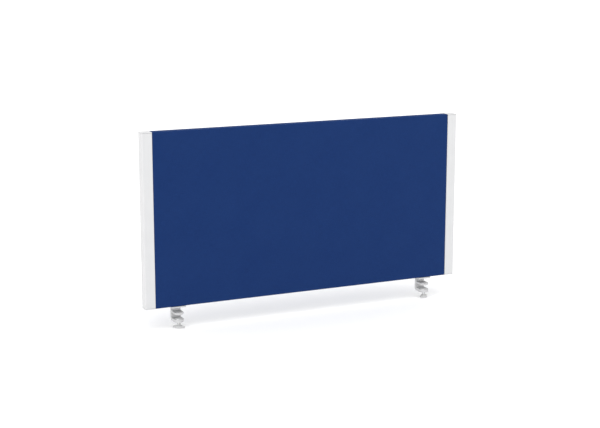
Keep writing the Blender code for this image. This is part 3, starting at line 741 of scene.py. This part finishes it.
def make_frame(word, place):
    edge, throat, front = 1 * MM, 2 * MM, -JAW_RADIUS
    side = rounded([
        (SPINE_BACK, -GAP, edge), (SPINE_BACK, LOWER_JAW_BOTTOM, HEEL_RADIUS),
        (front, LOWER_JAW_BOTTOM, edge), (front, LOWER_JAW_TOP, edge),
        (SPINE_FRONT, LOWER_JAW_TOP, throat), (SPINE_FRONT, UPPER_JAW_BOTTOM, throat),
        (front, UPPER_JAW_BOTTOM, edge), (front, UPPER_JAW_TOP, edge),
        (SPINE_FRONT, UPPER_JAW_TOP, throat), (SPINE_FRONT, -GAP, 0),
    ])
    body = prism(f"{word}_clamp_body", side, -JAW_RADIUS - GAP, JAW_RADIUS + GAP, across="X")
    plan = prism("plan", half_round(JAW_RADIUS, SPINE_BACK + GAP, 0), LOWER_JAW_BOTTOM - GAP, 0)
    boolean(body, plan, "INTERSECT")
    half, corner = FOOT_WIDTH / 2, FOOT_CORNER
    foot = rounded([(-half, FOOT_FRONT, corner), (half, FOOT_FRONT, corner),
                    (half, SPINE_BACK - GAP, corner), (-half, SPINE_BACK - GAP, corner)])
    boolean(body, prism("foot", foot, -GAP - FOOT_THICKNESS, -GAP), "UNION")
    bevel(body, 0.6 * MM, 3)
    applied(body)
    wide, high = DISC_RADIUS + POCKET_CLEARANCE, LOWER_JAW_TOP + GAP
    pocket = turned("pocket", [(0, high), (wide, high), (wide, POCKET_FLOOR), (0, POCKET_FLOOR)], 72)
    bore = turned("bore", [(0, POCKET_FLOOR + GAP), (BUSH_RADIUS + GAP, POCKET_FLOOR + GAP),
                           (BUSH_RADIUS + GAP, LOWER_JAW_BOTTOM - GAP), (0, LOWER_JAW_BOTTOM - GAP)], 60)
    boolean(body, pocket)
    boolean(body, bore)
    bottom = -GAP - FOOT_THICKNESS
    for x in (-FOOT_SCREW_X, FOOT_SCREW_X):
        sink = turned("sink", [(0, 0), (FOOT_SCREW_RADIUS + GAP, 0),
                               (FOOT_SCREW_RADIUS + GAP, bottom + FOOT_SCREW_HEAD_HEIGHT + GAP),
                               (FOOT_SCREW_HEAD + GAP, bottom + GAP / 2),
                               (FOOT_SCREW_HEAD + GAP, bottom - GAP), (0, bottom - GAP)], 40)
        moved(sink, (x, FOOT_SCREW_Y, 0))
        boolean(body, sink)
    applied(body)
    moved(body, place)
    piece(body, "screen", CAST_PAINT, "casting", f"{word}_clamp_frame")


def ribbed(name, outline, low, high, grooves):
    """A rubber pad with grooves across the face at high or low."""
    pad = prism(name, outline, low, high)
    for groove in grooves:
        boolean(pad, groove)
    return pad


def groove_bar(y, z, half_length, size=0.3 * MM):
    section = [(y - size, z), (y, z - size), (y + size, z), (y, z + size)]
    return prism("groove", section, -half_length, half_length, across="X")


def make_clamp(word):
    place = Vector((CLAMP_X[word], CLAMP_Y, SCREEN_BASE))
    make_frame(word, place)

    top = UPPER_JAW_BOTTOM - GAP
    outline = half_round(JAW_RADIUS - PAD_INSET, SPINE_FRONT - 2 * PAD_INSET, PAD_INSET)
    grooves = [groove_bar(y * MM, top - PAD_THICKNESS, 12 * MM) for y in range(-8, 16, 2)]
    pad = ribbed(f"{word}_jaw_rubber", outline, top - PAD_THICKNESS, top, grooves)
    piece(moved(applied(pad), place), "screen", RUBBER, "rubber", f"{word}_jaw_pad")

    high, low, inner = POCKET_FLOOR - GAP, LOWER_JAW_BOTTOM, THREAD_RADIUS + GAP
    bush = turned(f"{word}_bush_sleeve", [
        (inner + GAP, high), (BUSH_RADIUS - GAP, high), (BUSH_RADIUS, high - GAP),
        (BUSH_RADIUS, low + GAP), (BUSH_RADIUS - GAP, low), (inner + GAP, low),
        (inner, low + GAP), (inner, high - GAP)], 60, closed=True)
    piece(moved(bush, place), "screen", STEEL, "steel", f"{word}_thread_bush")

    floor = POCKET_FLOOR + GAP
    rim, ceiling = floor + DISC_THICKNESS, floor + SOCKET_LIP + 2 * GAP + NOSE_THICKNESS
    mouth, socket = NECK_RADIUS + GAP, NOSE_RADIUS + GAP
    disc = turned(f"{word}_swivel_disc", [
        (0, rim), (DISC_RADIUS - 0.5 * MM, rim), (DISC_RADIUS - 0.15 * MM, rim - 0.15 * MM),
        (DISC_RADIUS, rim - 0.5 * MM),
        (DISC_RADIUS, floor + GAP), (DISC_RADIUS - GAP, floor), (mouth, floor), (mouth, floor + SOCKET_LIP),
        (socket, floor + SOCKET_LIP), (socket, ceiling), (0, ceiling)], 72)
    piece(moved(disc, place), f"{word}_pad", STEEL, "steel", f"{word}_pressure_disc")

    low, reach = rim + GAP, DISC_RADIUS - GAP
    high, step = low + PAD_THICKNESS, 0.25 * MM
    profile = [(0, high)]
    for radius in (2 * MM, 4 * MM, 6 * MM):
        profile += [(radius - step, high), (radius, high - step), (radius + step, high)]
    profile += [(reach - step, high), (reach, high - step), (reach, low), (0, low)]
    rubber = turned(f"{word}_disc_rubber", profile, 72)
    piece(moved(rubber, place), f"{word}_pad", RUBBER, "rubber", f"{word}_disc_pad")

    turn = KNOB_TURNS[word]
    shoulder, nose = floor - POCKET_CLEARANCE, floor + SOCKET_LIP + GAP
    low = KNOB_BOTTOM + KNOB_FLOOR + GAP
    spindle = threaded(f"{word}_clamp_screw", THREAD_RADIUS, THREAD_DEPTH, THREAD_PITCH, low, shoulder, 48)
    tip = turned("tip", [
        (0, nose + NOSE_THICKNESS), (NOSE_RADIUS, nose + NOSE_THICKNESS), (NOSE_RADIUS, nose),
        (NECK_RADIUS, nose), (NECK_RADIUS, shoulder - MM), (0, shoulder - MM)], 48)
    boolean(spindle, tip, "UNION")
    piece(moved(applied(spindle), place, turn), f"{word}_screw", STEEL, "steel", f"{word}_spindle")
    make_knob(word, place, turn)


def make_knob(word, place, turn):
    hub = turned(f"{word}_wing_knob", [
        (0, KNOB_TOP), (KNOB_NECK, KNOB_TOP), (KNOB_RADIUS, KNOB_SHOULDER), (KNOB_RADIUS, KNOB_BOTTOM),
        (0, KNOB_BOTTOM)], 72)
    plan = rounded([
        (-WING_ROOT, 0, 0), (-WING_TIP, -WING_REACH, WING_TIP_RADIUS),
        (WING_TIP, -WING_REACH, WING_TIP_RADIUS), (WING_ROOT, 0, 0),
        (WING_TIP, WING_REACH, WING_TIP_RADIUS), (-WING_TIP, WING_REACH, WING_TIP_RADIUS)])
    past = WING_REACH + GAP
    slopes = [(-past, KNOB_BOTTOM), (past, KNOB_BOTTOM), (past, WING_TIP_TOP),
              (0, WING_CREST), (-past, WING_TIP_TOP)]
    wings = prism("wings", plan, WING_BOTTOM, WING_CREST)
    boolean(wings, prism("slopes", slopes, -KNOB_RADIUS, KNOB_RADIUS, across="X"), "INTERSECT")
    boolean(hub, applied(wings), "UNION")
    bevel(hub, 0.55 * MM, 4)
    applied(hub)
    inside, mouth, floor = THREAD_RADIUS + GAP, KNOB_TOP + GAP, KNOB_BOTTOM + KNOB_FLOOR
    bore = turned("bore", [(0, mouth), (inside, mouth), (inside, floor), (0, floor)], 60)
    boolean(hub, bore)
    end = GRIP_LENGTH / 2
    for side in (-1, 1):
        for reach in GRIP_REACHES:
            for face in (-1, 1):
                cut = turned("grip", [(0, end), (GRIP_RADIUS, end), (GRIP_RADIUS, -end), (0, -end)], 12)
                half = WING_ROOT + (WING_TIP - WING_ROOT) * reach / WING_REACH
                moved(cut, (face * (half + GRIP_OFFSET), side * reach, WING_BOTTOM))
                boolean(hub, cut)
    piece(moved(applied(hub), place, turn), f"{word}_screw", KNOB_PLASTIC, "knob", f"{word}_knob")


# Studio


def make_studio():
    bpy.context.scene.view_settings.view_transform = "Standard"
    world = bpy.data.worlds.new("studio")
    world.use_nodes = True
    world.node_tree.nodes["Background"].inputs["Color"].default_value = (1, 1, 1, 1)
    world.node_tree.nodes["Background"].inputs["Strength"].default_value = 1.17
    bpy.context.scene.world = world
    lights = (("soft_key", 0.70, 30, (-0.10, -0.26, 1)), ("front_fill", 1.3, 12, (-0.70, -0.72, 0.04)))
    for name, energy, softness, towards in lights:
        sun = bpy.data.lights.new(name, "SUN")
        sun.energy = energy
        sun.angle = math.radians(softness)
        link(name, sun).matrix_world = Vector(towards).to_track_quat("Z", "Y").to_matrix().to_4x4()
    s = Shader("studio_floor", 0.9, Specular_IOR_Level=0.1)
    faint = s.ranged(s.noise(0.8, 2), 0.3, 0.7, 0, 1)
    colour = s.mixed(faint, (0.945, 0.945, 0.945), (0.955, 0.955, 0.955))
    s.made(colour, s.bumped(s.noise(2 * MM, 1), 0.01 * MM))
    size, depth = 40.0, -0.1 * MM
    corners = [(-size, -size, depth), (size, -size, depth), (size, size, depth), (-size, size, depth)]
    floor = mesh_of("floor", corners, [(0, 1, 2, 3)])
    floor.data.materials.append(s.material)
    camera = bpy.data.cameras.new("camera")
    camera.lens = CAMERA_LENS
    camera.clip_end = 200
    eye = link("camera", camera)
    back = Vector((math.sin(CAMERA_AZIMUTH) * math.cos(CAMERA_ELEVATION),
                   -math.cos(CAMERA_AZIMUTH) * math.cos(CAMERA_ELEVATION), math.sin(CAMERA_ELEVATION)))
    eye.matrix_world = Matrix.Translation(CAMERA_PLACE) @ back.to_track_quat("Z", "Y").to_matrix().to_4x4()
    bpy.context.scene.camera = eye


make_studio()
make_foam()
make_cover()
make_trims()
make_screws()
for side_word, _ in SIDES:
    make_clamp(side_word)
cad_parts["core_board"].material_slots[0].material = CHIPBOARD
